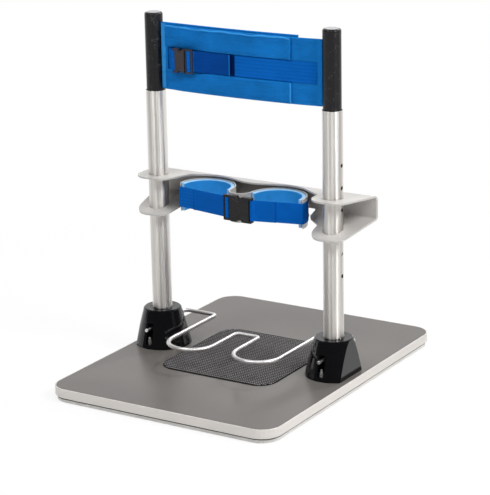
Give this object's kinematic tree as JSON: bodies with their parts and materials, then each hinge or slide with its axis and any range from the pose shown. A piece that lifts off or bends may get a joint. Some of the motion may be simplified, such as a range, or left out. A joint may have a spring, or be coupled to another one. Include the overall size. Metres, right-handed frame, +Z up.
{
  "type": "dynamic standing frame",
  "caption": "Standing frame on a weighted base: tubular uprights that sway on rubber, telescopic tubes with a pelvic belt, a sliding bracket with padded knee cups, and a wire heel guide.",
  "frame": {"origin": "middle of the base on the floor", "axes": "+Z up, +X to the right-hand upright, +Y the way the user faces, away from the side where the straps close"},
  "size_m": [0.6297, 0.8, 0.8598],
  "materials": {
    "laminate": "grey satin laminate",
    "edge": "satin",
    "steel_plate": "satin grey paint",
    "gasket": "matte",
    "mat": "matte, fine mesh",
    "zinc": "bright zinc",
    "gloss_black": "gloss",
    "stainless": "satin brushed",
    "rubber": "matte",
    "black_coat": "satin black powder coat",
    "cap_grey": "satin",
    "bracket_grey": "satin light-grey powder coat",
    "foam_blue": "matte foam",
    "webbing": "ribbed weave",
    "belt_cloth": "woven cloth",
    "buckle": "moulded, fine grain"
  },
  "bodies": {
    "base": {"base_plate": "steel_plate", "base_gasket": "gasket", "base_deck": "laminate", "base_edge": "edge", "foot_mat": "mat", "foot_left": "gloss_black", "foot_right": "gloss_black", "foot_screw_1": "zinc", "foot_screw_2": "zinc", "foot_screw_3": "zinc", "foot_screw_4": "zinc", "foot_screw_5": "zinc", "foot_screw_6": "zinc", "sway_axle_left": "zinc", "sway_axle_right": "zinc", "stop_screw_left": "zinc", "stop_screw_right": "zinc"},
    "uprights": {"post_left": "stainless", "post_right": "stainless", "sway_block_left": "rubber", "sway_block_right": "rubber", "limit_pin_left": "zinc", "limit_pin_right": "zinc"},
    "knee_support": {"knee_bracket": "bracket_grey", "knee_cups": "bracket_grey", "cup_rivet_1": "zinc", "cup_rivet_2": "zinc", "cup_rivet_3": "zinc", "cup_rivet_4": "zinc", "knee_pad_left": "foam_blue", "knee_pad_right": "foam_blue", "knee_strap_left": "webbing", "knee_strap_right": "webbing", "strap_rivet_1": "zinc", "strap_rivet_2": "zinc", "strap_rivet_3": "zinc", "strap_rivet_4": "zinc", "knee_buckle_shell": "buckle"},
    "knee_plug": {"knee_buckle_plug": "buckle"},
    "knee_arm_upper": {"knee_buckle_arm_upper": "buckle"},
    "knee_arm_lower": {"knee_buckle_arm_lower": "buckle"},
    "belt_support": {"belt_tube_left": "black_coat", "belt_tube_right": "black_coat", "tube_cap_left": "cap_grey", "tube_cap_right": "cap_grey", "belt_wing_left": "belt_cloth", "belt_wing_right": "belt_cloth", "belt_flap_upper": "belt_cloth", "belt_flap_lower": "belt_cloth", "belt_strap": "webbing", "belt_anchor": "webbing", "belt_buckle_shell": "buckle"},
    "belt_plug": {"belt_buckle_plug": "buckle"},
    "belt_arm_upper": {"belt_buckle_arm_upper": "buckle"},
    "belt_arm_lower": {"belt_buckle_arm_lower": "buckle"},
    "button_left": {"snap_button_left": "zinc"},
    "button_right": {"snap_button_right": "zinc"},
    "heel_guide": {"heel_wire": "stainless"}
  },
  "joints": [
    {"name": "sway", "type": "hinge", "parent": "base", "child": "uprights", "pos_m": [0, 0, 0.0576], "axis": [1, 0, 0], "range_deg": [-6, 6], "stiffness_Nm_per_rad": 300},
    {"name": "knee_height", "type": "slide", "parent": "uprights", "child": "knee_support", "axis": [0, 0, 1], "range_m": [-0.12, 0.12]},
    {"name": "belt_height", "type": "slide", "parent": "uprights", "child": "belt_support", "axis": [0, 0, 1], "range_m": [0, 0.212]},
    {"name": "heel_slide", "type": "slide", "parent": "base", "child": "heel_guide", "axis": [0, 1, 0], "range_m": [0, 0.015]},
    {"name": "button_left", "type": "slide", "parent": "belt_support", "child": "button_left", "axis": [-1, 0, 0], "range_m": [0, 0.0035]},
    {"name": "button_right", "type": "slide", "parent": "belt_support", "child": "button_right", "axis": [1, 0, 0], "range_m": [0, 0.0035]},
    {"name": "knee_plug", "type": "slide", "parent": "knee_support", "child": "knee_plug", "axis": [-1, 0, 0], "range_m": [0, 0.0485], "deforming": ["knee_strap_left"]},
    {"name": "knee_arm_upper", "type": "hinge", "parent": "knee_plug", "child": "knee_arm_upper", "pos_m": [-0.0064, -0.04705, 0.443], "axis": [0, 1, 0], "range_deg": [0, 6], "stiffness_Nm_per_rad": 0.4},
    {"name": "knee_arm_lower", "type": "hinge", "parent": "knee_plug", "child": "knee_arm_lower", "pos_m": [-0.0064, -0.04705, 0.3952], "axis": [0, -1, 0], "range_deg": [0, 6], "stiffness_Nm_per_rad": 0.4},
    {"name": "belt_plug", "type": "slide", "parent": "belt_support", "child": "belt_plug", "axis": [1, 0, 0], "range_m": [0, 0.0225], "deforming": ["belt_strap"]},
    {"name": "belt_arm_upper", "type": "hinge", "parent": "belt_plug", "child": "belt_arm_upper", "pos_m": [-0.1403, -0.02373, 0.7748], "axis": [0, -1, 0], "range_deg": [0, 8], "stiffness_Nm_per_rad": 0.4},
    {"name": "belt_arm_lower", "type": "hinge", "parent": "belt_plug", "child": "belt_arm_lower", "pos_m": [-0.1403, -0.02373, 0.7314], "axis": [0, 1, 0], "range_deg": [0, 8], "stiffness_Nm_per_rad": 0.4}
  ]
}
